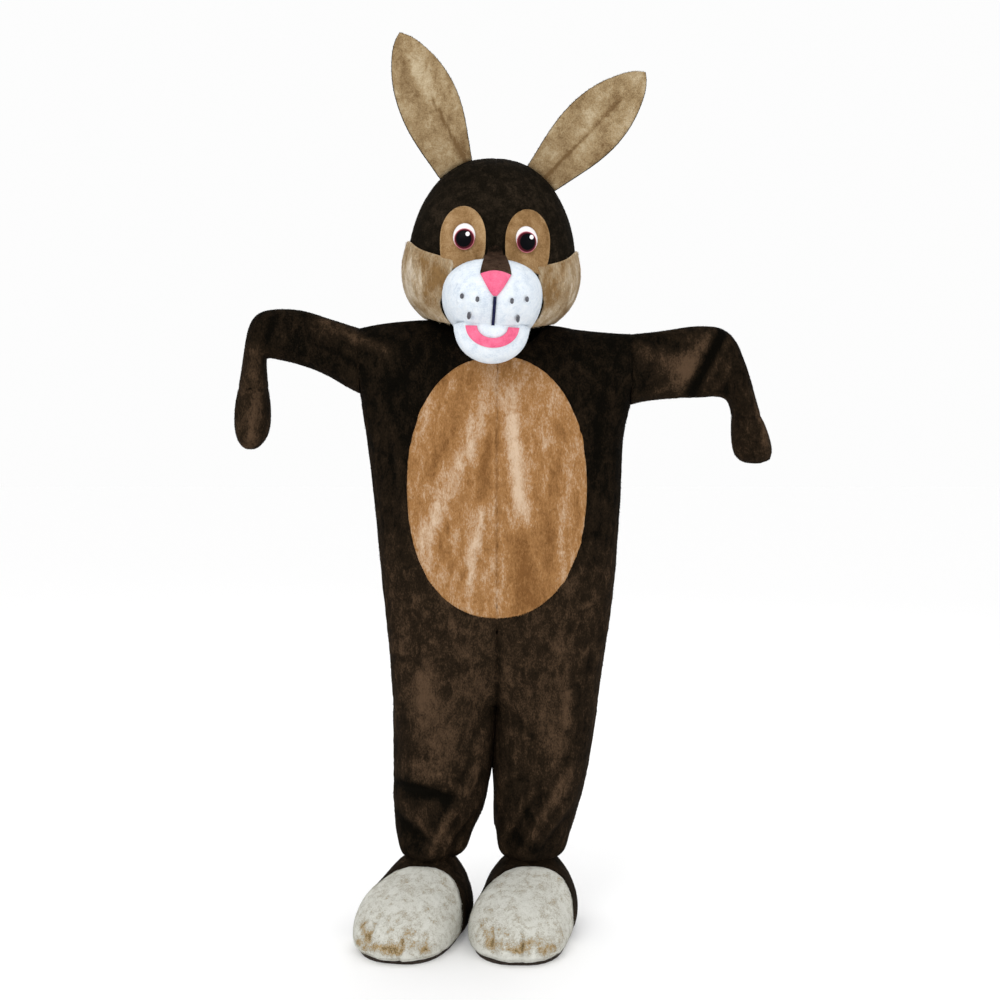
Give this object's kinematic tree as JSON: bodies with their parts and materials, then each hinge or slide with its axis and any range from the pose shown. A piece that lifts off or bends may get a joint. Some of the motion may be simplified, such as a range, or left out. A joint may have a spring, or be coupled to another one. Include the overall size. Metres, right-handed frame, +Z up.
{
  "type": "rabbit mascot costume",
  "caption": "Full-body rabbit mascot costume in dark brown plush, with a hollow head, upright ears, a tan belly patch, mitts and padded boots, standing open inside for a wearer.",
  "frame": {"origin": "on the middle plane at the height of the suit's shoulders, midway between its front and back, 1.40 m above the floor: where the filled-out costume is held", "axes": "+Z up, -Y towards the viewer of the costume's front, +X to the costume's own left"},
  "size_m": [1.265, 0.5146, 2.0869],
  "materials": {
    "brown_plush": "very dark brown short-pile plush, matt with a soft sheen",
    "belly_plush": "caramel tan short-pile plush, matt",
    "ear_plush": "mottled beige short-pile plush, matt",
    "cheek_plush": "mottled beige longer-pile plush, matt",
    "patch_plush": "tan brown short-pile plush, matt",
    "white_plush": "cool white short-pile plush, matt",
    "foot_plush": "pale grey beige short-pile plush, matt",
    "pink_felt": "pink felt, matt",
    "navy_felt": "navy felt, matt",
    "grey_felt": "grey felt, matt",
    "eye_white": "gloss",
    "eye_iris": "gloss",
    "eye_pupil": "gloss",
    "sole_foam": "matt dark brown foam rubber"
  },
  "bodies": {
    "root": {"belly_patch_left": "belly_plush", "belly_patch_right": "belly_plush", "boot_sole_left": "sole_foam", "boot_sole_right": "sole_foam", "boot_upper_left": "brown_plush", "boot_upper_right": "brown_plush", "boot_vamp_left": "foot_plush", "boot_vamp_right": "foot_plush", "ear_back_left": "brown_plush", "ear_back_right": "brown_plush", "ear_front_left": "ear_plush", "ear_front_right": "ear_plush", "eye_iris_left": "eye_iris", "eye_iris_right": "eye_iris", "eye_pupil_left": "eye_pupil", "eye_pupil_right": "eye_pupil", "eye_white_left": "eye_white", "eye_white_right": "eye_white", "head_bridge": "brown_plush", "head_cheek_left": "cheek_plush", "head_cheek_right": "cheek_plush", "head_eye_patch_left": "patch_plush", "head_eye_patch_right": "patch_plush", "head_jaw": "white_plush", "head_muzzle_left": "white_plush", "head_muzzle_right": "white_plush", "head_shell_back_left": "brown_plush", "head_shell_back_right": "brown_plush", "head_shell_front_left": "brown_plush", "head_shell_front_right": "brown_plush", "mitt_left": "brown_plush", "mitt_right": "brown_plush", "mouth_lip": "pink_felt", "nose": "pink_felt", "philtrum": "navy_felt", "sleeve_left": "brown_plush", "sleeve_right": "brown_plush", "suit_back_left": "brown_plush", "suit_back_right": "brown_plush", "suit_front_left": "brown_plush", "suit_front_right": "brown_plush", "whisker_dot_left_1": "grey_felt", "whisker_dot_left_2": "grey_felt", "whisker_dot_left_3": "grey_felt", "whisker_dot_right_1": "grey_felt", "whisker_dot_right_2": "grey_felt", "whisker_dot_right_3": "grey_felt"}
  },
  "joints": []
}
